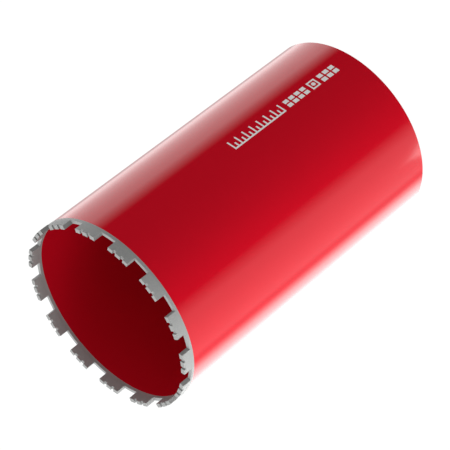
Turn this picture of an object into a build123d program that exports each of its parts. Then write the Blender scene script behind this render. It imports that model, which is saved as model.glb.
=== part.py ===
from build123d import *
import os

# A diamond core bit for wet drilling, in millimetres, with +Z up.
# It stands on the seat of its threaded hub with the crown up. The origin is the centre of that
# seat, in the mouth of the thread, and every piece is set out about the Z axis.

# Crown
cutting_diameter = 200.0  # over the outer faces of the segments
overall_length = 350.0  # from the tips of the teeth to the back of the plate
segment_count = 15
segment_length = 24.0  # between the parallel ends of a segment
segment_height = 10.0
outer_relief = 0.3  # a segment stands out this far past the barrel's outer wall
inner_relief = 0.3  # and this far in past the barrel's bore
end_rounding = 0.5  # radius down the four upright corners of a segment
notch_count = 2
notch_pitch = 9.2
notch_width = 3.2
notch_depth = 1.9
notch_rounding = 0.6  # radius in the bottom corners of a notch

# Barrel
barrel_wall = 3.6

# Back plate
plate_standout = 6.0  # height of the raised middle that stands behind the barrel's end
plate_step = 8.0  # width of the ring round it, which is level with the barrel's end
plate_spigot = 5.0  # depth of the part that sits inside the barrel
spigot_lead = 1.0  # chamfer that leads it into the barrel
spigot_clearance = 0.15  # between each spigot and its bore, on the radius
seam_weld_reach = 2.0  # to each side of the seam between barrel and plate
seam_weld_height = 1.2

# Threaded hub, for a 1 1/4 inch spindle with 7 threads to the inch
thread_minor_diameter = 28.2
hub_length = 40.0  # from the seat to the back of the plate
hub_wall = 10.9  # from the thread's crests to the outside
hub_shoulder = 5.0  # width of the ring that rests on the plate
seat_chamfer = 1.0  # round the outside of the seat
mouth_chamfer = 2.0  # round the mouth of the thread
relief_width = 5.0  # groove at the thread's end, where the tap or the tool runs out
relief_depth = 2.2  # from the thread's crests
passage_length = 13.0  # plain way for the water, from the groove to the core space
passage_shoulder = 3.1  # step from the thread's crests down to the passage
flat_depth = 4.5  # cut from each side, which leaves 41 across the two spanner flats
flat_from_seat = 8.0
flat_from_weld = 3.0
hub_weld_leg = 5.0

# Levels along the axis
plate_back = hub_length
barrel_back = plate_back + plate_standout
plate_front = barrel_back + plate_spigot
teeth_tips = plate_back + overall_length
barrel_front = teeth_tips - segment_height
passage_start = plate_front - passage_length
thread_end = passage_start - relief_width

# Radii
cutting_radius = cutting_diameter / 2
barrel_radius = cutting_radius - outer_relief
bore_radius = barrel_radius - barrel_wall
segment_inner_radius = bore_radius - inner_relief
boss_radius = bore_radius - plate_step
spigot_radius = bore_radius - spigot_clearance
thread_radius = thread_minor_diameter / 2
hub_radius = thread_radius + hub_wall
hub_spigot_radius = hub_radius - hub_shoulder
plate_hole_radius = hub_spigot_radius + spigot_clearance
relief_radius = thread_radius + relief_depth
passage_radius = thread_radius - passage_shoulder


def turned(outline):
    """A solid of revolution about the Z axis, from the closed outline of its half section."""
    return revolve(Plane.XZ * make_face(outline), Axis.Z)


def make_barrel():
    """The steel tube, square at both ends."""
    return turned(
        Polyline(
            (bore_radius, barrel_back),
            (barrel_radius, barrel_back),
            (barrel_radius, barrel_front),
            (bore_radius, barrel_front),
            close=True,
        )
    )


def make_notch():
    """What one notch takes out of a cutting face: a slot with a rounded floor, along Y."""
    # It is drawn twice as deep as it cuts, so that it opens at the tips.
    section = RectangleRounded(notch_width, 2 * notch_depth, notch_rounding)
    return extrude(Plane.XZ * section, cutting_radius, both=True)


def make_segment():
    """One diamond segment at the front (-Y): a curved brick with parallel ends and notched teeth."""
    # In plan it is the ring between the two cutting circles, cut off square at both ends.
    ring = Circle(cutting_radius) - Circle(segment_inner_radius)
    ends = Pos(0, -cutting_radius) * Rectangle(segment_length, cutting_diameter)
    plan = ring & ends
    plan = fillet(plan.vertices(), end_rounding)
    segment = Pos(0, 0, barrel_front) * extrude(plan, segment_height)
    # The notches are spread evenly about the middle and leave equal teeth between them.
    for place in range(notch_count):
        across = (place - (notch_count - 1) / 2) * notch_pitch
        segment -= Pos(across, 0, teeth_tips) * make_notch()
    return segment


def make_back_plate():
    """The disc that closes the barrel: it sits inside the end, and its middle stands out behind."""
    return turned(
        Polyline(
            (plate_hole_radius, plate_back),
            (boss_radius, plate_back),
            (boss_radius, barrel_back),
            (spigot_radius, barrel_back),
            (spigot_radius, plate_front - spigot_lead),
            (spigot_radius - spigot_lead, plate_front),
            (plate_hole_radius, plate_front),
            close=True,
        )
    )


def make_rim_weld():
    """The weld bead that caps the seam between the barrel's end and the plate."""
    return turned(
        Polyline(
            (bore_radius, barrel_back - seam_weld_height),
            (bore_radius + seam_weld_reach, barrel_back),
            (bore_radius - seam_weld_reach, barrel_back),
            close=True,
        )
    )


def make_hub():
    """The threaded hub: its spigot goes through the plate, and two flats take a spanner."""
    hub = turned(
        Polyline(
            (thread_radius + mouth_chamfer, 0),
            (hub_radius - seat_chamfer, 0),
            (hub_radius, seat_chamfer),
            (hub_radius, plate_back),
            (hub_spigot_radius, plate_back),
            (hub_spigot_radius, plate_front),
            (passage_radius, plate_front),
            (passage_radius, passage_start),
            (relief_radius, passage_start),
            (relief_radius, thread_end),
            (thread_radius, thread_end),
            (thread_radius, mouth_chamfer),
            close=True,
        )
    )
    flat_height = plate_back - hub_weld_leg - flat_from_weld - flat_from_seat
    cut = Box(
        flat_depth,
        2 * hub_radius,
        flat_height,
        align=(Align.MIN, Align.CENTER, Align.MIN),
    )
    for turn in (0, 180):
        hub -= Rot(0, 0, turn) * Pos(hub_radius - flat_depth, 0, flat_from_seat) * cut
    return hub


def make_hub_weld():
    """The fillet weld in the corner between the hub and the back of the plate."""
    return turned(
        Polyline(
            (hub_radius, plate_back),
            (hub_radius, plate_back - hub_weld_leg),
            (hub_radius + hub_weld_leg, plate_back),
            close=True,
        )
    )


def make_pieces():
    """Every separate piece of the bit by name, in its place."""
    pieces = {
        "barrel": make_barrel(),
        "back_plate": make_back_plate(),
        "hub": make_hub(),
        "rim_weld": make_rim_weld(),
        "hub_weld": make_hub_weld(),
    }
    segment = make_segment()
    for number in range(segment_count):
        turn = Rot(0, 0, number * 360 / segment_count)
        pieces[f"segment_{number + 1:02d}"] = turn * segment
    return pieces


os.makedirs("parts", exist_ok=True)
for name, piece in make_pieces().items():
    export_step(piece, f"parts/{name}.step")
    print(name, round(piece.volume), "cubic mm")
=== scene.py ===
# %% [markdown]
# A diamond core bit on its hub, dressed for the studio.
# The real one is a thin steel tube with fifteen sintered diamond segments welded on its front
# edge. A plate closes the other end, and a threaded hub on it takes the drill's spindle.
# The solid model comes in as a fixed frame. Each piece here is made round it, in metres, and
# hides the solids that it stands for, so nothing has to be fitted afterwards.

# %% Load the frame
import math

import bmesh
import bpy
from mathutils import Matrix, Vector


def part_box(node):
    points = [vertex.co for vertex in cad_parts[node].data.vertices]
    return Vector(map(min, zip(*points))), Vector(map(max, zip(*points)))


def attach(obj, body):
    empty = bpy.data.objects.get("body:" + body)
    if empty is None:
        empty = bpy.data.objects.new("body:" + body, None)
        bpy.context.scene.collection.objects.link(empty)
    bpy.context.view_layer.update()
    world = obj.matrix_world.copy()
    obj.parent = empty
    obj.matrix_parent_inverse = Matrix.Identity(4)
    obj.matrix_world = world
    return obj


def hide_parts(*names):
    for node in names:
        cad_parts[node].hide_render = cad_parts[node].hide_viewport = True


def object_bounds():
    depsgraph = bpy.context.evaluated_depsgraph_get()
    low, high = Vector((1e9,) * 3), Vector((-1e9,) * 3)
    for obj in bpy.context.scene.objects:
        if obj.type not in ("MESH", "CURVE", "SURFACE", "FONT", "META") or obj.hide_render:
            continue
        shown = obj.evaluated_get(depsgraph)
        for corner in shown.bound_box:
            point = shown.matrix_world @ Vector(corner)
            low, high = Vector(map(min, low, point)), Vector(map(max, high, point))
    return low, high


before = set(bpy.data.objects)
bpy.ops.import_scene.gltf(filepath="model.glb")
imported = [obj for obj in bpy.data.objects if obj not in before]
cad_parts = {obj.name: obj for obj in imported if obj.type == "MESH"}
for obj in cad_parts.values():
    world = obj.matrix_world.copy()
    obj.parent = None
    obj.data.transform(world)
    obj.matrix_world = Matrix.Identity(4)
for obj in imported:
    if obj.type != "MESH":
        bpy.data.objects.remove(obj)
cad_low, cad_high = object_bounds()
scene = bpy.context.scene
print("nodes in the frame:", len(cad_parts), "box", tuple(cad_low), tuple(cad_high))

# %% [markdown]
# Sizes. What a box of the frame can give is read from it: radii are half a box's width, and
# levels are its low and high faces. Only what a box can't show, such as a wall or a notch, is
# written here as a real size.

# %% Read the sizes
MM = 0.001
barrel_low, barrel_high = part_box("barrel")
plate_low, plate_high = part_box("back_plate")
hub_low, hub_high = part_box("hub")
rim_weld_low, rim_weld_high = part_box("rim_weld")
hub_weld_low, hub_weld_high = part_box("hub_weld")
segment_low, segment_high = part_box("segment_01")
segment_nodes = sorted(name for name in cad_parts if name.startswith("segment_"))

barrel_radius = barrel_high.x
barrel_wall = 3.6 * MM
bore_radius = barrel_radius - barrel_wall
cutting_radius = -segment_low.y
segment_relief = cutting_radius - barrel_radius
segment_bore = bore_radius - segment_relief
print("barrel radius", barrel_radius, "cutting radius", cutting_radius, "segments", len(segment_nodes))

# %% [markdown]
# The camera looks down at the crown from the front and is rolled far over, so the bit lies
# across the picture with its crown at the lower left. A long lens from two metres keeps the
# sides of the tube nearly parallel.

# %% Place the camera
camera_azimuth = math.radians(2.64)
camera_elevation = math.radians(31.58)
camera_roll = math.radians(-128.14)
camera_distance = 2.001
camera_aim = Vector((-0.0011, 0.0, 0.2261))
lens_length, sensor_width = 166.8, 36  # both in millimetres


def add_object(name, data):
    """An object that holds this data, in the scene."""
    thing = bpy.data.objects.new(name, data)
    scene.collection.objects.link(thing)
    return thing


def way_out(azimuth, elevation):
    """The direction away from the bit, with its azimuth counted from the front (-Y) towards +X."""
    level = math.cos(elevation)
    return Vector((math.sin(azimuth) * level, -math.cos(azimuth) * level, math.sin(elevation)))


def place_camera():
    """The photograph's view: aimed at a point near the axis, rolled about the line of sight."""
    back = way_out(camera_azimuth, camera_elevation)
    level = Vector((math.cos(camera_azimuth), math.sin(camera_azimuth), 0))
    right = level * math.cos(camera_roll) + back.cross(level) * math.sin(camera_roll)
    data = bpy.data.cameras.new("camera")
    data.lens, data.sensor_width = lens_length, sensor_width
    camera = add_object("camera", data)
    columns = (right, back.cross(right), back, camera_aim + back * camera_distance)
    for number, column in enumerate(columns):
        camera.matrix_world.col[number][:3] = column
    scene.camera = camera
    return camera


camera = place_camera()
print("camera at", tuple(round(c, 3) for c in camera.matrix_world.translation))

# %% [markdown]
# The studio. A gloss tube shows what stands round it, as upright stripes: here two large soft
# boxes, one on each side, with darkness between them behind the camera. The world holds them
# as a ramp round the horizon that only glossy rays see. Above it lies a plain ceiling and below
# it a dim floor, with the bright corner of one more box low on the bright side. Other rays find
# an even, dim light, and the camera finds plain white.

# %% Set out the studio
# Each stop is an angle from the camera, in degrees, positive towards the bright side, and how
# bright the studio is there.
back_wall = ((-180, 1.15), (-170, 1.1), (-163, 0.7), (-158, 0.9))
shade_side_box = ((-151, 1.9), (-145, 2.12), (-130, 1.8), (-99, 1.65), (-89, 0.7))
dark_room = ((-81, 0.02), (36, 0.02))
bright_side_box = ((47, 0.66), (54, 0.98), (101, 1.08))
gap_between_boxes = ((108, 0.6), (112, 0.65))
rear_box = ((126, 2.8), (146, 3.3), (165, 2.0), (178, 1.2))
studio_stops = back_wall + shade_side_box + dark_room + bright_side_box + gap_between_boxes + rear_box
studio_peak = 4.0  # the brightest level that the ramp can hold
studio_top, top_fade = 1.0, (0.35, 0.75)  # a fade is in sines of the angle up or down
studio_foot, foot_fade = 0.3, (0.68, 0.85)  # dim, because the bit stands in its own shadow
# The corner of a small box near the floor, which shows in the gloss at the far end.
corner_angle = 78.5  # from the camera, in degrees
corner_drop = 0.5968  # how steeply down it starts, as a sine
corner_spread = 4.6  # how fast it widens below that, in turns
corner_depth = 0.03  # how far below its start it stops widening
corner_softness = 0.006  # the width of its edge, in turns
corner_level = 3.7
ambient_light = 0.5  # what all but glossy rays find
print("studio stripes:", len(studio_stops), "stops")

# %% [markdown]
# Lights, finishes and most shapes below are trees of nodes. To keep them readable, a Wire stands
# for one output of a node, and arithmetic on wires adds the Math nodes, so that a formula looks
# like one. A node's inputs come as a dictionary: a wire in it is linked to the socket, and a
# number or colour is set on it.

# %% Wire nodes together
class Wire:
    """One output of a node. Arithmetic with it adds Math nodes to its tree."""

    def __init__(self, tree, socket):
        self.tree, self.socket = tree, socket

    def __add__(self, other):
        return maths("ADD", self, other)

    def __sub__(self, other):
        return maths("SUBTRACT", self, other)

    def __rsub__(self, number):
        return maths("SUBTRACT", number, self)

    def __mul__(self, other):
        return maths("MULTIPLY", self, other)

    def __truediv__(self, other):
        return maths("DIVIDE", self, other)

    def __rtruediv__(self, number):
        return maths("DIVIDE", number, self)

    def __mod__(self, other):
        return maths("MODULO", self, other)

    def __lt__(self, other):
        return maths("LESS_THAN", self, other)

    def __gt__(self, other):
        return maths("GREATER_THAN", self, other)


def feed(tree, node, inputs):
    """Sets a node's inputs, by name or number, or links wires to them."""
    for key, value in inputs.items():
        if isinstance(value, Wire):
            tree.links.new(value.socket, node.inputs[key])
        else:
            node.inputs[key].default_value = value


def new_node(tree, kind, inputs=None, **settings):
    """A node with its properties set and its inputs fed."""
    node = tree.nodes.new(kind)
    for name, value in settings.items():
        setattr(node, name, value)
    feed(tree, node, inputs or {})
    return node


def wires_of(tree, kind, inputs=None, **settings):
    """All outputs of a new node, by name."""
    outputs = new_node(tree, kind, inputs, **settings).outputs
    return {socket.name: Wire(tree, socket) for socket in outputs}


def wire_of(tree, kind, inputs=None, **settings):
    """The first output of a new node that is in use."""
    outputs = new_node(tree, kind, inputs, **settings).outputs
    return Wire(tree, next(socket for socket in outputs if socket.enabled))


print("nodes can be wired")

# %% [markdown]
# On top of that come the few steps that most trees take: arithmetic on numbers and vectors, a
# vector's parts, and blends between two colours, numbers or shaders.

# %% Write formulas with wires
def maths(operation, *values, kind="ShaderNodeMath"):
    """One step of arithmetic on wires and numbers."""
    tree = next(value.tree for value in values if isinstance(value, Wire))
    return wire_of(tree, kind, dict(enumerate(values)), operation=operation)


def vector_maths(operation, *values):
    """One step of arithmetic on vectors."""
    return maths(operation, *values, kind="ShaderNodeVectorMath")


def clamped(wire):
    """The result of a Math node, held between 0 and 1."""
    wire.socket.node.use_clamp = True
    return wire


def parts_of(vector):
    """The X, Y and Z of a vector."""
    return list(wires_of(vector.tree, "ShaderNodeSeparateXYZ", {"Vector": vector}).values())


def vector_of(tree, **parts):
    """A vector of these X, Y and Z, with 0 for one that isn't given."""
    return wire_of(tree, "ShaderNodeCombineXYZ", parts)


def blend_colour(share, first, second):
    """A colour between first and second, which are wires or colours."""
    return wire_of(share.tree, "ShaderNodeMix", {0: share, 6: first, 7: second}, data_type="RGBA")


def blend_number(share, first, second):
    """A number between first and second, which are wires or numbers."""
    return wire_of(share.tree, "ShaderNodeMix", {0: share, 2: first, 3: second}, data_type="FLOAT")


def choose(share, first, second):
    """The first shader where share is 0, the second where it is 1."""
    return wire_of(share.tree, "ShaderNodeMixShader", {0: share, 1: first, 2: second})


def grey(value):
    """A grey as a colour."""
    return (value, value, value, 1)


print("formulas can be written")

# %% [markdown]
# The world. One direction gives all of it: how far round it is picks the stripe, and how far up
# or down it is fades the stripes into the ceiling or the floor. Light Path tells glossy rays and
# camera rays from the rest.

# %% Light the world
def background(tree, colour, strength):
    """A world shader of that colour and strength."""
    return wire_of(tree, "ShaderNodeBackground", {"Color": colour, "Strength": strength})


def fade(value, start, end):
    """0 up to start, 1 from end on, and rising evenly between them."""
    span = {"Value": value, "From Min": start, "From Max": end}
    return wire_of(value.tree, "ShaderNodeMapRange", span)


def studio_light(direction, down):
    """The stripes round the horizon, with the bright corner low on one side."""
    tree = direction.tree
    turn = {"Vector": direction, "Rotation": (0, 0, camera_azimuth - math.pi / 2), "Scale": (1, -1, 1)}
    turned = {"Vector": wire_of(tree, "ShaderNodeMapping", turn)}
    around = wires_of(tree, "ShaderNodeTexGradient", turned, gradient_type="RADIAL")["Fac"]
    stripes = new_node(tree, "ShaderNodeValToRGB", {"Fac": around})
    # Of the two stops that a new ramp has, the one at 0 stays for the first angle, -180.
    ramp = stripes.color_ramp.elements
    ramp.remove(ramp[-1])
    for number, (angle, level) in enumerate(studio_stops):
        stop = ramp.new(0.5 + angle / 360) if number else ramp[0]
        stop.color = grey(level / studio_peak)
    # The corner is a wedge: it starts at one slope down and widens below it, up to a width.
    half_width = maths("MINIMUM", down - corner_drop, corner_depth) * corner_spread
    aside = maths("ABSOLUTE", around - (0.5 + corner_angle / 360))
    in_corner = clamped((half_width - aside) / corner_softness)
    stripe = Wire(tree, stripes.outputs["Color"])
    return background(tree, blend_colour(in_corner, stripe, grey(corner_level / studio_peak)), studio_peak)


def light_world():
    """White for the camera, striped soft boxes for gloss, and an even dim light for the rest."""
    world = bpy.data.worlds.new("studio")
    scene.world = world
    world.use_nodes = True
    world.cycles.sampling_method = "NONE"
    tree = world.node_tree
    tree.nodes.clear()
    direction = wires_of(tree, "ShaderNodeTexCoord")["Generated"]
    up = parts_of(direction)[2]
    down = up * -1.0
    for_gloss = studio_light(direction, down)
    for slope, ends, level in ((up, top_fade, studio_top), (down, foot_fade, studio_foot)):
        for_gloss = choose(fade(slope, *ends), for_gloss, background(tree, grey(1), level))
    rays = wires_of(tree, "ShaderNodeLightPath")
    for_rest = choose(rays["Is Glossy Ray"], background(tree, grey(1), ambient_light), for_gloss)
    shown = choose(rays["Is Camera Ray"], for_rest, background(tree, grey(1), 1.0))
    new_node(tree, "ShaderNodeOutputWorld", {"Surface": shown})


light_world()
scene.view_settings.view_transform = "Standard"
print("world nodes:", len(scene.world.node_tree.nodes))

# %% [markdown]
# Five soft lamps shape the form. The key is a wide low panel far round on the bright side, no
# higher than the crown: the tube darkens slowly towards the other side, and nothing of it falls
# into the bore. A small lamp above it reaches in there a little. A weak fill beside the camera
# and one from behind keep the shade side from going dull, and the top lamp lights the end faces
# of the teeth. Gloss doesn't see the lamps, because the stripes stand for them there.

# %% Hang the lamps
def hang_lamp(name, azimuth, elevation, distance, width, height, watts):
    """A soft panel that points at the middle of the bit, from an azimuth and elevation in degrees."""
    away = way_out(math.radians(azimuth), math.radians(elevation))
    data = bpy.data.lights.new(name, "AREA")
    data.shape, data.size, data.size_y, data.energy = "RECTANGLE", width, height, watts
    lamp = add_object(name, data)
    lamp.location = (cad_low + cad_high) / 2 + away * distance
    lamp.rotation_euler = away.to_track_quat("Z", "Y").to_euler()
    lamp.visible_camera = lamp.visible_glossy = False


# In order: azimuth and elevation in degrees, distance, width and height in metres, and watts.
hang_lamp("key", -82, 0, 1.8, 2.5, 0.3, 39.5)
hang_lamp("lift", -90, 30, 1.8, 0.8, 0.8, 9)
hang_lamp("fill", -28, 5, 1.8, 1.0, 0.3, 3)
hang_lamp("back", 102, 0, 1.8, 1.2, 0.3, 6.5)
hang_lamp("top", 0, 89, 1.6, 1.0, 1.0, 6)

# %% [markdown]
# The floor is pale and matt. For the camera most of its brightness is its own, so it runs into
# the white world without an edge and still shows a faint soft shadow under the bit. Its back is
# clear to the camera, so that the hub can be looked at from below.

# %% Lay the floor
floor_radius, floor_sides = 4.0, 96
floor_colour = 0.7
floor_own_share = 0.9
floor_glow = 1.1
floor_gap = 0.2 * MM


def mesh_of(shape, name):
    """A new mesh from a bmesh, which is freed."""
    mesh = bpy.data.meshes.new(name)
    shape.to_mesh(mesh)
    shape.free()
    return mesh


def new_material(name):
    """A new material, and its tree."""
    material = bpy.data.materials.new(name)
    material.use_nodes = True
    return material, material.node_tree


def lay_floor():
    """A large disc just under the seat of the hub."""
    shape = bmesh.new()
    bmesh.ops.create_circle(shape, cap_ends=True, segments=floor_sides, radius=floor_radius)
    floor = add_object("floor", mesh_of(shape, "floor"))
    floor.location.z = cad_low.z - floor_gap
    floor.visible_glossy = False
    material, tree = new_material("pale_floor")
    tree.nodes.clear()
    matt = wire_of(tree, "ShaderNodeBsdfDiffuse", {"Color": grey(floor_colour)})
    own = wire_of(tree, "ShaderNodeEmission", {"Strength": floor_glow})
    clear = wire_of(tree, "ShaderNodeBsdfTransparent")
    for_camera = wires_of(tree, "ShaderNodeLightPath")["Is Camera Ray"]
    from_below = wires_of(tree, "ShaderNodeNewGeometry")["Backfacing"]
    top = choose(for_camera * floor_own_share, matt, own)
    new_node(tree, "ShaderNodeOutputMaterial", {"Surface": choose(for_camera * from_below, top, clear)})
    floor.data.materials.append(material)


lay_floor()
print("floor radius", floor_radius)

# %% [markdown]
# Effects that several finishes share are shader groups: they put out only values, and each
# finish sets its own amounts. All of them read Object coordinates, which here are the frame's
# own metres, so a millimetre in a pattern is a millimetre on the bit.

# %% Start a shader group
def label_of(name):
    """A socket's label from a name in the script: wave_length is Wave length."""
    return name.replace("_", " ").capitalize()


def add_sockets(tree, way, sockets):
    """Gives a tree named sockets. Each comes with its kind, or with its default if it is a number."""
    for name, given in sockets.items():
        kind = {int: "Int", float: "Float"}.get(type(given), given)
        socket = tree.interface.new_socket(label_of(name), in_out=way, socket_type="NodeSocket" + kind)
        if kind != given:
            socket.default_value = given


def new_group(name, *outputs, **inputs):
    """An empty shader group with these number outputs, and number inputs with their defaults."""
    group = bpy.data.node_groups.new(name, "ShaderNodeTree")
    add_sockets(group, "INPUT", inputs)
    add_sockets(group, "OUTPUT", dict.fromkeys(outputs, "Float"))
    return group, wires_of(group, "NodeGroupInput")


def put_out(group, **values):
    """Ends a group with what its outputs give."""
    new_node(group, "NodeGroupOutput", values)
    return group


def object_place(tree):
    """The Object coordinates."""
    return wires_of(tree, "ShaderNodeTexCoord")["Object"]


def distance_from_axis(x, y):
    """How far a point is from the bit's axis."""
    return maths("SQRT", x * x + y * y)


def noise_at(place, scale, detail):
    """Noise between 0 and 1 at that place."""
    return wire_of(place.tree, "ShaderNodeTexNoise", {"Vector": place, "Scale": scale, "Detail": detail})


print("group helpers ready")

# %% [markdown]
# Five effects. Sprayed paint has a faint waviness. Where the paint stops, its edge wanders by a
# few hundredths of a millimetre. Turned steel has fine grooves that run round the axis. A
# sintered segment is grainy, with specks of diamond in a softer metal. The last one says which
# way a face looks, so that faces looking up the axis or in towards it can be painted brighter:
# painted light, standing in for the light that falls on the crown's front and inside.

# %% Build the shared effects
speck_reach = 0.32  # of a diamond from the middle of its cell, in cells
speck_threshold = 0.72  # a cell holds a diamond if its random number is above this
speck_height = 0.7  # against 1 for the highest grain
grain_density = 1.4  # grains to a cell


def build_paint_skin():
    """The waviness of sprayed paint, and slow changes in its tone."""
    group, given = new_group("paint_skin", "Height", "Tone", wave_length=0.0025)
    place = object_place(group)
    fine = noise_at(place, scale=1.0 / given["Wave length"], detail=1)
    return put_out(group, Height=fine, Tone=noise_at(place, scale=14, detail=2))


def build_paint_edge():
    """1 past the level where the paint stops, 0 before it, with a slightly uneven line between."""
    group, given = new_group("paint_edge", "Bare", level=0.0, wander=0.00006, softness=0.00008)
    place = object_place(group)
    wander = (noise_at(place, scale=260, detail=3) - 0.5) * given["Wander"]
    past = parts_of(place)[2] - given["Level"] + wander
    return put_out(group, Bare=clamped(past / given["Softness"] + 0.5))


def build_turning():
    """Fine grooves round the axis, as a turning tool or a grinding belt leaves them."""
    group, given = new_group("turning_marks", "Height", groove=0.00025)
    x, y, level = parts_of(object_place(group))
    place = vector_of(group, X=distance_from_axis(x, y), Z=level)
    return put_out(group, Height=noise_at(place, scale=1.0 / given["Groove"], detail=2))


def build_grit():
    """The grain of sintered metal, and the specks of diamond that show in it."""
    group, given = new_group("sintered_grit", "Height", "Speck", "Cloud", grain=0.0006)
    place = object_place(group)
    cells = wires_of(group, "ShaderNodeTexVoronoi", {"Vector": place, "Scale": 1.0 / given["Grain"]})
    draw = wire_of(group, "ShaderNodeSeparateColor", {"Color": cells["Color"]})
    speck = (cells["Distance"] < speck_reach) * (draw > speck_threshold)
    grain = noise_at(place, scale=grain_density / given["Grain"], detail=3)
    cloud = noise_at(place, scale=320, detail=4)
    return put_out(group, Height=grain + speck * speck_height, Speck=speck, Cloud=cloud)


def build_facing():
    """Which way a face looks: 1 in Forward if it looks up the axis, 1 in Inward if towards it."""
    group, given = new_group("facing", "Forward", "Inward", least_slope=0.8)
    here = wires_of(group, "ShaderNodeTexCoord")
    spoke = vector_maths("NORMALIZE", vector_maths("MULTIPLY", here["Object"], (1, 1, 0)))
    inward = vector_maths("DOT_PRODUCT", here["Normal"], spoke) * -1.0
    upward = parts_of(here["Normal"])[2]
    return put_out(group, Forward=upward > given["Least slope"], Inward=inward > given["Least slope"])


paint_skin = build_paint_skin()
paint_edge = build_paint_edge()
facing = build_facing()
turning_marks = build_turning()
sintered_grit = build_grit()
print("shared effects:", [g.name for g in bpy.data.node_groups if g.type == "SHADER"])

# %% [markdown]
# The finishes. Each is one Principled shader. The paint is a single gloss layer. Where a piece
# has both paint and bare steel, a mask picks between the two on the same surface, as on the
# real one, which is painted first and ground clean at the front afterwards.

# %% Mix paint and metal
paint_red = (0.565, 0.0037, 0.015, 1)
paint_deep = (0.54, 0.0033, 0.0138, 1)
steel_light = (0.325, 0.33, 0.325, 1)
steel_dark = (0.25, 0.255, 0.25, 1)
# Painted light: inner faces, which look towards the axis, are made this much brighter, standing in for
# light that reaches them.
steel_inner_painted_light_gain = 1.3
sinter_light = (0.328, 0.332, 0.328, 1)
sinter_dark = (0.242, 0.246, 0.242, 1)
sinter_inner_painted_light_gain = 1.15
# Painted light: front faces, which look up the axis, are made this much brighter, standing in for the top
# light on them.
front_painted_light_gain = 1.52
skin_share = 0.12  # of the relief is the waviness of the paint
paint_relief, grit_relief, ink_relief = 0.03 * MM, 0.06 * MM, 0.02 * MM


def place_group(tree, group, **amounts):
    """Puts a shared effect in a material with its own amounts, and gives its outputs."""
    inputs = {label_of(name): amount for name, amount in amounts.items()}
    return wires_of(tree, "ShaderNodeGroup", inputs, node_tree=group)


def brighten(colour, gain):
    """That colour made brighter."""
    return tuple(channel * gain for channel in colour[:3]) + (1,)


def metal_tone_with_painted_light(share, dark, light, inner_painted_light_gain):
    """A metal between dark and light, painted brighter on its inner faces and its front faces: painted
    light.
    """
    way = place_group(share.tree, facing, least_slope=0.8)
    tone = blend_colour(share, dark, light)
    for looks, gain in ((way["Inward"], inner_painted_light_gain), (way["Forward"], front_painted_light_gain)):
        brighter = blend_colour(share, brighten(dark, gain), brighten(light, gain))
        tone = blend_colour(looks, tone, brighter)
    return tone


def paint_parts(tree):
    """The paint's colour and the height of its skin."""
    skin = place_group(tree, paint_skin, wave_length=0.0025)
    return blend_colour(skin["Tone"], paint_deep, paint_red), skin["Height"]


def coat(tree, height, depth, inputs):
    """Feeds a material's shader, with height, from 0 to 1, times depth, in metres, as its relief."""
    relief = wire_of(tree, "ShaderNodeBump", {"Height": height, "Distance": depth})
    feed(tree, tree.nodes["Principled BSDF"], {**inputs, "Normal": relief})


def coat_with_bare_steel(bare, groove, roughness, metallic):
    """Gloss paint where bare is 0 and turned steel where it is 1, with a roughness for each."""
    tree = bare.tree
    red, skin = paint_parts(tree)
    lines = place_group(tree, turning_marks, groove=groove)["Height"]
    # The steel's inner and front faces are painted brighter here: painted light.
    steel = metal_tone_with_painted_light(lines, steel_dark, steel_light, steel_inner_painted_light_gain)
    coat(tree, blend_number(bare, skin * skin_share, lines), paint_relief, {
        "Base Color": blend_colour(bare, red, steel),
        "Roughness": blend_number(bare, *roughness),
        "Metallic": bare * metallic,
    })


print("paint and metal ready")

# %% [markdown]
# Six materials come of that. The barrel and the hub are painted with a part left bare, the
# plate and the weld beads are painted all over, the segments are sintered, and the print is ink.

# %% Write the finishes
diamond_speck = (0.42, 0.42, 0.38, 1)
ink_white = (0.84, 0.87, 0.86, 1)
ink_thin = (0.5, 0.42, 0.42, 1)


def finish_of_barrel(paint_stop):
    """Gloss paint in and out, and a bare ground band past the level where the paint stops."""
    material, tree = new_material("gloss_paint_with_bare_band")
    bare = place_group(tree, paint_edge, level=paint_stop)["Bare"]
    coat_with_bare_steel(bare, groove=0.0003, roughness=(0.05, 0.5), metallic=0.08)
    return material


def finish_of_hub(bare_radius, seat_level, end_level):
    """Gloss paint outside and on the inner end, and bare turned steel in the bore and on the seat."""
    material, tree = new_material("gloss_paint_with_machined_bore")
    x, y, level = parts_of(object_place(tree))
    in_bore = (distance_from_axis(x, y) < bare_radius) * (level < end_level)
    bare = maths("MAXIMUM", in_bore, level < seat_level)
    coat_with_bare_steel(bare, groove=0.0004, roughness=(0.12, 0.38), metallic=0.6)
    return material


def finish_of_paint(name, groove_share):
    """Gloss paint all over, thin enough for the marks below to show a little."""
    material, tree = new_material(name)
    red, skin = paint_parts(tree)
    lines = place_group(tree, turning_marks, groove=0.0006)["Height"]
    relief = skin * skin_share + lines * groove_share
    coat(tree, relief, paint_relief, {"Base Color": red, "Roughness": skin * 0.06 + 0.12})
    return material


def finish_of_segments():
    """Sintered metal and diamond: matt, grainy, and each segment a little different in tone."""
    material, tree = new_material("sintered_diamond")
    grit = place_group(tree, sintered_grit, grain=0.0006)
    tone = wires_of(tree, "ShaderNodeAttribute", attribute_name="tone")["Fac"]
    share = grit["Cloud"] * 0.8 + tone * 0.25
    # The segments' inner and front faces are painted brighter here: painted light.
    metal = metal_tone_with_painted_light(share, sinter_dark, sinter_light, sinter_inner_painted_light_gain)
    coat(tree, grit["Height"], grit_relief, {
        "Base Color": blend_colour(grit["Speck"] * 0.8, metal, diamond_speck),
        "Roughness": grit["Cloud"] * 0.2 + 0.45,
        "Metallic": 0.04,
    })
    return material


def finish_of_print():
    """White ink, thinner and greyer in places, matter than the paint below."""
    material, tree = new_material("white_ink")
    thin = noise_at(object_place(tree), scale=900, detail=3) * 0.2
    ink = blend_colour(thin, ink_white, ink_thin)
    coat(tree, thin, ink_relief, {"Base Color": ink, "Roughness": 0.4})
    return material


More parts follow.
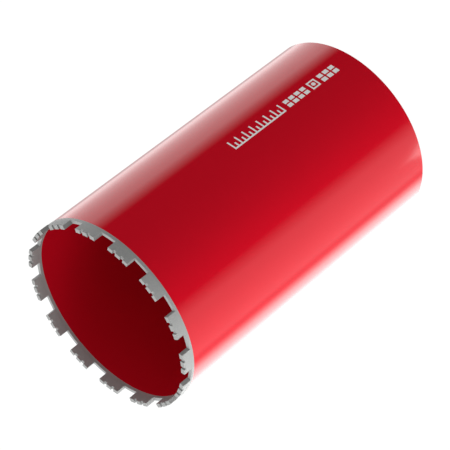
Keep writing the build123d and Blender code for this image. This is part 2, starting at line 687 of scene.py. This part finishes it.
bare_band = 3.2 * MM
relief_radius = 16.3 * MM
bore_margin, seat_margin, end_margin = 0.1 * MM, 0.05 * MM, 0.3 * MM
barrel_finish = finish_of_barrel(barrel_high.z - bare_band)
plate_finish = finish_of_paint("gloss_paint_on_turned_plate", 0.35)
weld_finish = finish_of_paint("gloss_paint_on_weld", 0.0)
hub_finish = finish_of_hub(relief_radius + bore_margin, hub_low.z + seat_margin, hub_high.z - end_margin)
segment_finish = finish_of_segments()
print_finish = finish_of_print()
finishes = (barrel_finish, plate_finish, weld_finish, hub_finish, segment_finish, print_finish)
print("finishes:", [finish.name for finish in finishes])

# %% [markdown]
# Shapes that repeat or follow a rule come from Geometry Nodes. Each tree takes a mesh and a
# material, and has named inputs for its sizes, so that one tree can make several pieces. It
# ends by making its instances real, because an export drops them, and by setting the material.

# %% Start a geometry tree
TAU = 2 * math.pi
same_point = 0.002 * MM  # points that are nearer than this are merged


def new_geometry_tree(name, **inputs):
    """An empty tree for a mesh and a material, with number inputs and their defaults."""
    tree = bpy.data.node_groups.new(name, "GeometryNodeTree")
    add_sockets(tree, "INPUT", {"geometry": "Geometry", **inputs, "material": "Material"})
    add_sockets(tree, "OUTPUT", {"geometry": "Geometry"})
    return tree, wires_of(tree, "NodeGroupInput")


def merge_near(geometry, distance):
    """The geometry, with points merged that are nearer than the distance."""
    inputs = {"Geometry": geometry, "Distance": distance}
    return wire_of(geometry.tree, "GeometryNodeMergeByDistance", inputs)


def move_points(geometry, place):
    """The geometry with each point moved to that place."""
    return wire_of(geometry.tree, "GeometryNodeSetPosition", {"Geometry": geometry, "Position": place})


def finish_tree(geometry, material):
    """Ends a tree: instances made real, then the material."""
    tree = geometry.tree
    real = wire_of(tree, "GeometryNodeRealizeInstances", {"Geometry": geometry})
    coated = wire_of(tree, "GeometryNodeSetMaterial", {"Geometry": real, "Material": material})
    new_node(tree, "NodeGroupOutput", {"Geometry": coated})
    return tree


print("geometry trees can be started and finished")

# %% [markdown]
# Turned pieces. The barrel, the plate and both weld beads are the same thing to a lathe: a half
# section carried round an axis. One tree does that for all of them. It lays out a grid with one
# column for each step round the axis and one row for each point of the half section, moves every
# grid point to its place, and merges the seams. A "push" stored on the section's points says
# where the ripples of a weld lift it.

# %% Build the lathe tree
ripple_roundness = 0.7  # below 1 a ripple's back is blunter than a sine


def value_at(geometry, value, index):
    """A vector that a geometry holds at one of its points."""
    inputs = {"Geometry": geometry, "Value": value, "Index": index}
    return wire_of(geometry.tree, "GeometryNodeSampleIndex", inputs, data_type="FLOAT_VECTOR")


def build_lathe():
    """Carries the half section it is given round the Z axis."""
    tree, given = new_geometry_tree(
        "lathe", steps=360, section_points=4, ripples=0, ripple_height=0.0, ripple_bow=0.35
    )
    rows = given["Section points"] + 1
    grid = wire_of(tree, "GeometryNodeMeshGrid", {"Vertices X": given["Steps"] + 1, "Vertices Y": rows})
    index = wire_of(tree, "GeometryNodeInputIndex")
    # The fractions that are added keep a whole number clear of the one below it.
    column = maths("FLOOR", (index + 0.5) / rows)
    row = index - column * rows
    point = maths("FLOOR", (row + 0.25) % given["Section points"])
    turn = column / given["Steps"]
    place = wire_of(tree, "GeometryNodeInputPosition")
    push = wire_of(tree, "GeometryNodeInputNamedAttribute", {"Name": "push"}, data_type="FLOAT_VECTOR")
    section, push = (value_at(given["Geometry"], value, point) for value in (place, push))
    # Each ripple is a lens that lags behind at the toes, as molten metal freezes.
    phase = turn * given["Ripples"] + vector_maths("LENGTH", push) * given["Ripple bow"]
    wave = maths("ABSOLUTE", maths("SINE", phase * math.pi))
    lift = maths("POWER", wave, ripple_roundness) * given["Ripple height"]
    spin = {"Vector": vector_maths("MULTIPLY_ADD", push, lift, section), "Angle": turn * TAU}
    spun = wire_of(tree, "ShaderNodeVectorRotate", spin, rotation_type="Z_AXIS")
    return finish_tree(merge_near(move_points(grid, spun), same_point / 2), given["Material"])


lathe = build_lathe()
print("lathe nodes:", len(lathe.nodes))

# %% [markdown]
# A tree works as a modifier on an object. Once it has run, its result is kept as a plain mesh
# and the modifier goes, so what rides on the frame is only a mesh. Its faces are then turned
# outwards and smoothed, apart from real edges, and large faces are given most of the say in how
# the shading runs, so that a small rounding beside one doesn't bend it.

# %% Run a tree and keep its mesh
edge_angle = math.radians(32)
face_weight = 100  # the most that Weighted Normal takes


def keep_result(piece):
    """Replaces a piece's mesh by what its modifiers make of it, and takes them off."""
    graph = bpy.context.evaluated_depsgraph_get()
    graph.update()
    mesh = bpy.data.meshes.new_from_object(piece.evaluated_get(graph))
    piece.modifiers.clear()
    piece.data = mesh
    mesh.name = piece.name
    return piece


def smooth(piece):
    """Turns faces outwards, smooths all but the edges sharper than edge_angle, and weighs faces."""
    shape = bmesh.new()
    shape.from_mesh(piece.data)
    bmesh.ops.recalc_face_normals(shape, faces=shape.faces)
    if shape.calc_volume(signed=True) < 0:
        bmesh.ops.reverse_faces(shape, faces=shape.faces)
    shape.to_mesh(piece.data)
    shape.free()
    piece.data.shade_smooth()
    piece.data.set_sharp_from_angle(angle=edge_angle)
    weigh = piece.modifiers.new("weighted normals", "WEIGHTED_NORMAL")
    weigh.keep_sharp = True
    weigh.weight = face_weight
    return keep_result(piece)


def run_tree(name, start, tree, **values):
    """A piece made by a geometry tree from a start mesh, with the tree's inputs by name."""
    piece = add_object(name, start)
    modifier = piece.modifiers.new("tree", "NODES")
    modifier.node_group = tree
    sockets = {s.name: s.identifier for s in tree.interface.items_tree if s.in_out == "INPUT"}
    for label, value in values.items():
        modifier[sockets[label_of(label)]] = value
    return smooth(keep_result(piece))


def dress(piece, slot, *nodes):
    """Ties a finished piece to the frame: it rides, and stands for its nodes. Its slot is not used."""
    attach(piece, "root")
    if nodes:
        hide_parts(*nodes)
    piece.data.calc_loop_triangles()
    print(piece.name, len(piece.data.loop_triangles), "triangles")


print("helpers for pieces ready")

# %% [markdown]
# A half section is drawn as corners of (radius, level). No real edge is quite sharp, so its
# corners are rounded before it goes to the lathe as a mesh of loose points.

# %% Draw half sections
def half_section(name, points, pushes=None):
    """A mesh of loose points (radius, level), with a push for each."""
    mesh = bpy.data.meshes.new(name)
    mesh.from_pydata([(radius, 0, level) for radius, level in points], [], [])
    attribute = mesh.attributes.new("push", "FLOAT_VECTOR", "POINT")
    for item, push in zip(attribute.data, pushes or [(0, 0, 0)] * len(points)):
        item.vector = push
    return mesh


def rounded(corners, radius, steps=4):
    """A closed outline of (radius, level) corners, each rounded by an arc of that radius."""
    outline = []
    for place, corner in enumerate(corners):
        here = Vector(corner)
        before = (Vector(corners[place - 1]) - here).normalized()
        after = (Vector(corners[(place + 1) % len(corners)]) - here).normalized()
        half = before.angle(after) / 2
        centre = here + (before + after).normalized() * radius / math.sin(half)
        first = here + before * radius / math.tan(half) - centre
        last = here + after * radius / math.tan(half) - centre
        turn = first.angle_signed(last)
        for step in range(steps + 1):
            angle = -turn * step / steps
            spoke = Vector((
                first.x * math.cos(angle) - first.y * math.sin(angle),
                first.x * math.sin(angle) + first.y * math.cos(angle),
            ))
            outline.append(tuple(centre + spoke))
    return outline


def turned_piece(name, slot, finish, outline, node, steps=360):
    """A turned piece from the closed outline of its half section."""
    start = half_section(name, outline)
    piece = run_tree(name, start, lathe, steps=steps, section_points=len(outline), material=finish)
    dress(piece, slot, node)


print("helpers for turned pieces ready")

# %% [markdown]
# The barrel is a rolled and welded tube, cut square. Its half section is a slim rectangle with
# barely broken corners.

# %% Turn the barrel
barrel_corners = [
    (bore_radius, barrel_low.z),
    (barrel_radius, barrel_low.z),
    (barrel_radius, barrel_high.z),
    (bore_radius, barrel_high.z),
]
barrel_edge = 0.25 * MM
barrel_outline = rounded(barrel_corners, barrel_edge)
turned_piece("barrel_tube", "barrel_paint", barrel_finish, barrel_outline, "barrel", steps=480)

# %% [markdown]
# The back plate is a turned disc that sits inside the barrel's end. A ring of it is level with
# that end, and its middle stands out behind.

# %% Turn the back plate
boss_radius = bore_radius - 8.0 * MM
spigot_lead = 1.0 * MM
plate_hole_radius = 20.15 * MM
plate_corners = [
    (plate_hole_radius, plate_low.z),
    (boss_radius, plate_low.z),
    (boss_radius, barrel_low.z),
    (plate_high.x, barrel_low.z),
    (plate_high.x, plate_high.z - spigot_lead),
    (plate_high.x - spigot_lead, plate_high.z),
    (plate_hole_radius, plate_high.z),
]
plate_edge = 0.2 * MM
plate_outline = rounded(plate_corners, plate_edge)
turned_piece("back_plate_disc", "back_paint", plate_finish, plate_outline, "back_plate")

# %% [markdown]
# The weld beads are laid by a torch that moves round in small steps, so each is a row of
# overlapping ripples. One fills the corner between hub and plate, the other caps the seam
# between plate and barrel. The side that lies on the steel is flat, and only the open side is
# pushed out.

# %% Lay the weld beads
face_points = 9  # along a bead's open side
ripple_height = 0.45 * MM
ripple_length = 2.6 * MM
steps_per_ripple = 7


def weld_bead(name, node, seat, first_toe, last_toe, crown):
    """A rippled bead on a seat point. Its open side bows out from toe to toe, as high as crown."""
    first, last = Vector(first_toe), Vector(last_toe)
    along = (last - first).normalized()
    out = Vector((-along.y, along.x))
    points, pushes = [seat], [(0, 0, 0)]
    for step in range(face_points):
        share = step / (face_points - 1)
        swell = math.sin(math.pi * share)
        points.append(tuple(first.lerp(last, share) + out * crown * swell))
        pushes.append((out.x * swell, 0, out.y * swell))
    middle_radius = (first.x + last.x) / 2
    ripples = round(TAU * middle_radius / ripple_length)
    piece = run_tree(
        name,
        half_section(name, points, pushes),
        lathe,
        steps=ripples * steps_per_ripple,
        section_points=len(points),
        ripples=ripples,
        ripple_height=ripple_height,
        material=weld_finish,
    )
    dress(piece, "weld_paint", node)


seam_reach = rim_weld_high.x - bore_radius
weld_bead(
    "rim_weld_bead",
    "rim_weld",
    seat=(bore_radius, rim_weld_high.z),
    first_toe=(rim_weld_high.x, rim_weld_high.z),
    last_toe=(bore_radius - seam_reach, rim_weld_high.z),
    crown=rim_weld_high.z - rim_weld_low.z - ripple_height,
)
weld_bead(
    "hub_weld_bead",
    "hub_weld",
    seat=(hub_high.x, hub_weld_high.z),
    first_toe=(hub_weld_high.x, hub_weld_high.z),
    last_toe=(hub_high.x, hub_weld_low.z),
    crown=0,
)

# %% [markdown]
# The hub is turned too, but its thread winds and its flats are milled, so it gets a grid of its
# own. The thread's rows climb with the angle by one pitch a turn. That keeps its crests and
# roots on rows, where an even grid would saw across them.

# %% Wind the thread
thread_major_radius = 15.875 * MM
thread_minor_radius = 14.1 * MM
thread_depth = thread_major_radius - thread_minor_radius
thread_pitch = 25.4 * MM / 7
thread_end = 33.0 * MM
mouth_radius = 16.1 * MM
thread_root = 0.125  # how wide the flat root is, in pitches
thread_flank = thread_depth * math.tan(math.radians(30)) / thread_pitch  # and a flank
rows_per_pitch = 12


def thread_radius_at(angle, level):
    """The bore's radius in the thread: 60 degree flanks with flat crests and roots."""
    from_root = abs((level / thread_pitch - angle / TAU) % 1.0 - 0.5)
    share = (from_root - thread_root / 2) / thread_flank
    groove = thread_major_radius - thread_depth * min(max(share, 0.0), 1.0)
    chamfer = mouth_radius - level
    return max(groove, chamfer)


def thread_places():
    """Where the rows of one pitch lie: on the corners of the thread, with others between."""
    start, end = 0.5 - thread_root / 2, 0.5 + thread_root / 2
    corners = [0.0, start - thread_flank, start, end, end + thread_flank, 1.0]
    places = []
    for first, last in zip(corners, corners[1:]):
        count = max(1, round((last - first) * rows_per_pitch))
        places += [first + (last - first) * step / count for step in range(count)]
    return places


def thread_rings(angles):
    """Rings of (radius, level) points that wind down the thread, from its end to its mouth."""
    start = mouth_radius - thread_major_radius
    # Both ends have turns to spare, because the rows climb by a pitch on their way round.
    turns = math.ceil(thread_end / thread_pitch) + 1
    rings = []
    for row in (turn + place for turn in range(turns, -2, -1) for place in reversed(thread_places())):
        levels = [min(max((row + angle / TAU) * thread_pitch, start), thread_end) for angle in angles]
        rings.append([(thread_radius_at(angle, level), level) for angle, level in zip(angles, levels)])
    return rings


print("thread rows in a pitch:", len(thread_places()))

# %% [markdown]
# The rest of the hub is rings of points too, up the outside, over the top and down the bore.
# Where the flats are, a ring is pulled in to them.

# %% Lay out the hub's rings
passage_start = 38.0 * MM
passage_radius = 11.0 * MM
hub_spigot_radius = 20.0 * MM
seat_chamfer = 1.0 * MM
flat_distance = 20.5 * MM
flat_start, flat_end = 8.0 * MM, 32.0 * MM
hub_steps = 192
least_cosine = 0.01  # so that nothing is divided by 0


def hub_angles():
    """Even angles round the hub, the nearest ones moved to where the flats meet the round."""
    angles = [TAU * step / hub_steps for step in range(hub_steps)]
    corner = math.acos(flat_distance / hub_high.x)
    for wanted in (corner, math.pi - corner, math.pi + corner, TAU - corner):
        angles[round(wanted / TAU * hub_steps)] = wanted
    return angles


def plain_rings(angles):
    """Level rings of (radius, level) points, from the mouth round the outside to the thread's end."""
    def plain(radius, level):
        return [(radius, level)] * len(angles)

    def with_flats(level):
        to_flat = [flat_distance / max(abs(math.cos(angle)), least_cosine) for angle in angles]
        return [(min(hub_high.x, distance), level) for distance in to_flat]

    return [
        plain(mouth_radius, 0),
        plain(hub_high.x - seat_chamfer, 0),
        plain(hub_high.x, seat_chamfer),
        plain(hub_high.x, flat_start),
        with_flats(flat_start),
        with_flats(flat_end),
        plain(hub_high.x, flat_end),
        plain(hub_high.x, plate_low.z),
        plain(hub_spigot_radius, plate_low.z),
        plain(hub_spigot_radius, hub_high.z),
        plain(passage_radius, hub_high.z),
        plain(passage_radius, passage_start),
        plain(relief_radius, passage_start),
        plain(relief_radius, thread_end),
    ]


print("level rings of the hub:", len(plain_rings(hub_angles())))

# %% [markdown]
# All the rings together make one closed skin: quads join each to the next and the last to the
# first. Points that fall together, as where the thread's rows run out at its ends, are merged.

# %% Cut the hub
def cut_hub():
    """The hub as one closed skin of rings, each joined to the next and the last to the first."""
    angles = hub_angles()
    plain = plain_rings(angles)
    shape = bmesh.new()
    rings = []
    for ring in plain + thread_rings(angles):
        places = [(r * math.cos(angle), r * math.sin(angle), z) for angle, (r, z) in zip(angles, ring)]
        rings.append([shape.verts.new(place) for place in places])
    # The thread's rows climb, so its last column joins the first column a whole pitch further up.
    climb = len(thread_places())
    for number, upper in enumerate(rings):
        lower = rings[(number + 1) % len(rings)]
        for step in range(len(angles) - 1):
            shape.faces.new((upper[step], upper[step + 1], lower[step + 1], lower[step]))
        if not len(plain) <= number < len(rings) - 1:
            shape.faces.new((upper[-1], upper[0], lower[0], lower[-1]))
        elif number - climb >= len(plain):
            shape.faces.new((upper[-1], rings[number - climb][0], rings[number + 1 - climb][0], lower[-1]))
    bmesh.ops.remove_doubles(shape, verts=shape.verts, dist=same_point)
    bmesh.ops.dissolve_degenerate(shape, edges=shape.edges, dist=same_point / 2)
    piece = add_object("hub_body", mesh_of(shape, "hub_body"))
    piece.data.materials.append(hub_finish)
    dress(smooth(piece), "hub_paint", "hub")


cut_hub()

# %% [markdown]
# A diamond segment is a curved brick, pressed and sintered, with square ends and two notches
# that leave three teeth. It is drawn flat first, as the outline of its face, then cut into
# strips so that it can bend, given its thickness and bent onto the two cutting circles.

# %% Draw a segment's face
half_length = segment_high.x
notch_width = 3.2 * MM
notch_depth = 1.9 * MM
notch_pitch = 9.2 * MM
notch_rounding = 0.6 * MM
arc_steps = 4


def face_outline():
    """The face of a segment, flat: (across, level) points from the lower left corner round."""
    tips = segment_high.z
    floor_level = tips - notch_depth
    outline = [(-half_length, segment_low.z), (-half_length, tips)]
    for middle in (-notch_pitch / 2, notch_pitch / 2):
        left, right = middle - notch_width / 2, middle + notch_width / 2
        outline.append((left, tips))
        for side, centre in ((math.pi, left + notch_rounding), (1.5 * math.pi, right - notch_rounding)):
            for step in range(arc_steps + 1):
                angle = side + math.pi / 2 * step / arc_steps
                outline.append((
                    centre + notch_rounding * math.cos(angle),
                    floor_level + notch_rounding * (1 + math.sin(angle)),
                ))
        outline.append((right, tips))
    return outline + [(half_length, tips), (half_length, segment_low.z)]


print("points round a segment's face:", len(face_outline()))

# %% [markdown]
# Its edges are softened, most of all at the four upright corners and least where it meets the
# tube. Each edge gets a weight for that, which a Bevel modifier reads.

# %% Model one segment
strip_width = 1.2 * MM
snap_distance = 0.01 * MM
sliver_width = 0.004 * MM
corner_rounding = 0.5 * MM
corner_weight, edge_weight, root_weight = 1.0, 0.4, 0.12  # shares of that rounding
rounding_steps = 3
crease_angle = math.radians(50)
hair = 1e-6  # a length that counts as none


def cut_strips(shape):
    """Cuts a flat face into upright strips and two courses, so that it bends smoothly."""
    def cut(place, along):
        everything = shape.verts[:] + shape.edges[:] + shape.faces[:]
        bmesh.ops.bisect_plane(shape, geom=everything, dist=snap_distance, plane_co=place, plane_no=along)

    count = math.ceil(2 * half_length / strip_width)
    for step in range(1, count):
        cut((-half_length + 2 * half_length * step / count, 0, 0), (1, 0, 0))
    cut((0, 0, segment_high.z - 2 * notch_depth), (0, 0, 1))


def weight_of(edge):
    """How much of the corners' rounding an edge gets."""
    if edge.calc_face_angle(0) < crease_angle:
        return 0.0
    first, last = (vert.co for vert in edge.verts)
    if max(first.z, last.z) < segment_low.z + hair:
        return root_weight
    at_end = all(abs(abs(place.x) - half_length) < hair for place in (first, last))
    return corner_weight if at_end and abs(first.z - last.z) > hair else edge_weight


def model_segment():
    """One closed segment in its place at the front, with a weight on each edge to be softened."""
    shape = bmesh.new()
    shape.faces.new([shape.verts.new((across, 0, level)) for across, level in face_outline()])
    cut_strips(shape)
    back = bmesh.ops.extrude_face_region(shape, geom=shape.faces[:], use_keep_orig=True)["geom"]
    inner = {vert for vert in back if isinstance(vert, bmesh.types.BMVert)}
    for vert in shape.verts:
        radius = segment_bore if vert in inner else cutting_radius
        vert.co.y = -math.sqrt(radius**2 - vert.co.x**2)
    bmesh.ops.recalc_face_normals(shape, faces=shape.faces)
    weights = shape.edges.layers.float.new("bevel_weight_edge")
    for edge in shape.edges:
        edge[weights] = weight_of(edge)
    return mesh_of(shape, "segment")


def soften(piece):
    """The piece's mesh with its weighted edges bevelled and slivers cleared away."""
    bevel = piece.modifiers.new("soft edges", "BEVEL")
    bevel.limit_method = "WEIGHT"
    bevel.width = corner_rounding
    bevel.segments = rounding_steps
    bevel.harden_normals = False
    mesh = keep_result(piece).data
    shape = bmesh.new()
    shape.from_mesh(mesh)
    bmesh.ops.remove_doubles(shape, verts=shape.verts, dist=sliver_width)
    bmesh.ops.dissolve_degenerate(shape, edges=shape.edges, dist=sliver_width)
    shape.to_mesh(mesh)
    shape.free()
    return mesh


one_segment = add_object("one_segment", model_segment())
segment_mesh = soften(one_segment)
bpy.data.objects.remove(one_segment)
print("one segment:", len(segment_mesh.polygons), "faces")

# %% [markdown]
# The crown repeats that segment round the axis. The tree makes one point for each segment, sets
# the segment on each point turned to its own angle, and stores a random tone on it that the
# finish reads. The points all lie on the axis, because the segment already has its radius.

# %% Ring the crown
def build_crown():
    """Repeats the mesh it is given evenly about the Z axis."""
    tree, given = new_geometry_tree("crown", count=15, tone_seed=4)
    turn = wire_of(tree, "GeometryNodeInputIndex") / given["Count"] * TAU
    ring = wire_of(tree, "GeometryNodeInstanceOnPoints", {
        "Points": wire_of(tree, "GeometryNodePoints", {"Count": given["Count"]}),
        "Instance": given["Geometry"],
        "Rotation": vector_of(tree, Z=turn),
    })
    tone = wire_of(tree, "FunctionNodeRandomValue", {"Seed": given["Tone seed"]}, data_type="FLOAT")
    stored = {"Geometry": ring, "Name": "tone", "Value": tone}
    toned = wire_of(tree, "GeometryNodeStoreNamedAttribute", stored, data_type="FLOAT", domain="INSTANCE")
    return finish_tree(toned, given["Material"])


crown = run_tree(
    "crown_segments",
    segment_mesh,
    build_crown(),
    count=len(segment_nodes),
    tone_seed=4,
    material=segment_finish,
)
dress(crown, "diamond_segment", *segment_nodes)

# %% [markdown]
# The white print. The tube carries a row of plain marks along its length: a graduated scale,
# two rows of dashes, a square frame round a disc, and two more rows of dashes. They are drawn
# flat, with X along the tube and Y round it, as rows of quads low enough to bend round it.

# %% Draw bars and discs
disc_steps = 16
disc_tip = 0.01 * MM  # half the width of a disc's first and last row
bend_step = 1.0 * MM  # the most that a quad takes up round the tube


def add_grid(shape, rows, hole=None):
    """Quads between rows of flat points. A hole is the column and rows that are left out."""
    rows = [[shape.verts.new((*point, 0)) for point in row] for row in rows]
    for number, (low, high) in enumerate(zip(rows, rows[1:])):
        for column in range(len(low) - 1):
            if hole and column == hole[0] and number in hole[1]:
                continue
            shape.faces.new((low[column], high[column], high[column + 1], low[column + 1]))


def heights(low, high):
    """Heights from low to high in steps that are short enough to bend round the tube."""
    steps = max(1, math.ceil((high - low) / bend_step))
    return [low + (high - low) * step / steps for step in range(steps + 1)]


def add_bar(shape, left, low, right, high):
    """A rectangle between two corners."""
    add_grid(shape, [((left, height), (right, height)) for height in heights(low, high)])


def add_disc(shape, x, y, radius):
    """A disc as rows from bottom to top."""
    rows = []
    for step in range(disc_steps + 1):
        angle = math.pi * step / disc_steps
        half = max(radius * math.sin(angle), disc_tip)
        height = y - radius * math.cos(angle)
        rows.append(((x - half, height), (x + half, height)))
    add_grid(shape, rows)


print("bars and discs can be drawn")

# %% [markdown]
# The row is laid out from its end nearest the crown. Each part of it says where it ends, so that
# the next one can follow at its gap. The ticks of the scale come later, from a tree.

# %% Draw the row of marks
tick_count = 15
tick_spacing = 5.0 * MM
scale_height = 12.0 * MM
stroke = 1.7 * MM
gap_after_scale = 5.9 * MM
small_dashes, small_dash = 4, (5.9 * MM, 4.4 * MM)
large_dashes, large_dash = 3, (6.2 * MM, 4.8 * MM)
dash_gap = 2.1 * MM
row_gap = 1.6 * MM
frame_side = 11.0 * MM
frame_gap = 4.4 * MM
disc_radius = 2.3 * MM


def add_dashes(shape, place, count, dash):
    """Two rows of dashes from that place on, and the place where they end."""
    width, height = dash
    for number in range(count):
        left = place + number * (width + dash_gap)
        add_bar(shape, left, row_gap / 2, left + width, row_gap / 2 + height)
        add_bar(shape, left, -row_gap / 2 - height, left + width, -row_gap / 2)
    return left + width


def add_frame(shape, place):
    """A square frame round a disc, and the place where it ends."""
    half, end = frame_side / 2, place + frame_side
    below = heights(-half, -half + stroke)
    beside = heights(-half + stroke, half - stroke)
    above = heights(half - stroke, half)
    columns = (place, place + stroke, end - stroke, end)
    rows = [[(x, height) for x in columns] for height in below + beside[1:] + above[1:]]
    add_grid(shape, rows, hole=(1, range(len(below) - 1, len(below) + len(beside) - 2)))
    add_disc(shape, place + half, 0, disc_radius)
    return end


def draw_marks():
    """All the marks but the ticks, flat, from the end of the row nearest the crown."""
    shape = bmesh.new()
    half = scale_height / 2
    place = (tick_count - 1) * tick_spacing + stroke
    add_bar(shape, 0, -half, place, -half + stroke)
    place = add_dashes(shape, place + gap_after_scale, small_dashes, small_dash)
    place = add_frame(shape, place + frame_gap)
    add_dashes(shape, place + frame_gap, large_dashes, large_dash)
    return mesh_of(shape, "flat_marks")


flat_marks = draw_marks()
print("flat marks:", len(flat_marks.polygons), "faces")

# %% [markdown]
# Ink is a thin film that follows the tube. One tree adds the scale's ticks, gives all the marks
# the film's thickness while they are flat, and wraps them round the tube last, so that each
# step stays simple. The first two steps come here.

# %% Add the ticks and the film
tick_rows = 11


def join(*geometries):
    """Several geometries as one, in that order."""
    tree = geometries[0].tree
    node = new_node(tree, "GeometryNodeJoinGeometry")
    for geometry in geometries:
        feed(tree, node, {"Geometry": geometry})
    return Wire(tree, node.outputs["Geometry"])


def row_of_ticks(tree, given):
    """Upright ticks from foot to tip, with every other one cut short."""
    width, height = given["Tick width"], given["Tick height"]
    size = {"Size X": width, "Size Y": height, "Vertices X": 2, "Vertices Y": tick_rows}
    tick = wire_of(tree, "GeometryNodeMeshGrid", size)
    # A tick grows from its foot in the scale's line, so that a shorter one keeps its foot there.
    raised = {"Geometry": tick, "Translation": vector_of(tree, Y=height * 0.5)}
    index = wire_of(tree, "GeometryNodeInputIndex")
    spot = vector_of(tree, X=index * given["Tick spacing"] + width * 0.5, Y=given["Foot"])
    stretch = 1.0 - (index % 2) * (1.0 - given["Short tick"])
    ticks = wire_of(tree, "GeometryNodeInstanceOnPoints", {
        "Points": wire_of(tree, "GeometryNodePoints", {"Count": given["Ticks"], "Position": spot}),
        "Instance": wire_of(tree, "GeometryNodeTransform", raised),
        "Scale": vector_of(tree, X=1, Y=stretch, Z=1),
    })
    return wire_of(tree, "GeometryNodeRealizeInstances", {"Geometry": ticks})


def add_film(flat, thickness):
    """Gives flat marks a thickness, and closes them below with their own faces turned over."""
    tree = flat.tree
    rise = {"Mesh": flat, "Offset": vector_of(tree, Z=1), "Offset Scale": thickness, "Individual": False}
    lifted = wire_of(tree, "GeometryNodeExtrudeMesh", rise)
    under = wire_of(tree, "GeometryNodeFlipFaces", {"Mesh": flat})
    return merge_near(join(under, lifted), same_point)


print("ticks and film can be added")

# %% [markdown]
# Wrapping moves each point of the flat film: its height becomes an angle, its thickness goes
# outwards and its length runs down the tube. The film sits a little way into the paint, so that
# no gap shows under it.

# %% Wrap them round the tube
print_turn = math.radians(34.6)
print_start = 157.0 * MM  # from the edge of the paint
ink_thickness = 0.05 * MM
ink_sink = 0.01 * MM
short_tick = 0.515  # of a tall one
foot_depth = 0.1 * MM  # how far a tick reaches into the scale's line


def wrap_round(flat, given):
    """Wraps marks round the Z axis: X becomes the way down the tube, Y the way round, Z the way out."""
    x, y, z = parts_of(wire_of(flat.tree, "GeometryNodeInputPosition"))
    reach = given["Radius"] + z
    angle = given["Turn"] + y / given["Radius"]
    ahead = reach * maths("COSINE", angle)
    return move_points(flat, vector_of(
        flat.tree, X=reach * maths("SINE", angle), Y=ahead * -1.0, Z=given["Level"] - x
    ))


def build_wrap():
    """Adds a row of ticks to flat marks, thickens them all and wraps them round the Z axis."""
    tree, given = new_geometry_tree(
        "wrapped_print",
        ticks=tick_count,
        tick_spacing=0.005,
        tick_width=0.0017,
        tick_height=0.01,
        short_tick=0.5,
        foot=-0.005,
        radius=0.0997,
        film=0.00005,
        turn=0.0,
        level=0.2,
    )
    film = add_film(join(given["Geometry"], row_of_ticks(tree, given)), given["Film"])
    return finish_tree(wrap_round(film, given), given["Material"])


tick_foot = -scale_height / 2 + stroke - foot_depth
marks = run_tree(
    "print_marks",
    flat_marks,
    build_wrap(),
    ticks=tick_count,
    tick_spacing=tick_spacing,
    tick_width=stroke,
    tick_height=scale_height / 2 - tick_foot,
    short_tick=short_tick,
    foot=tick_foot,
    radius=barrel_radius - ink_sink,
    film=ink_thickness,
    turn=print_turn,
    level=barrel_high.z - bare_band - print_start,
    material=print_finish,
)
dress(marks, "barrel_paint")
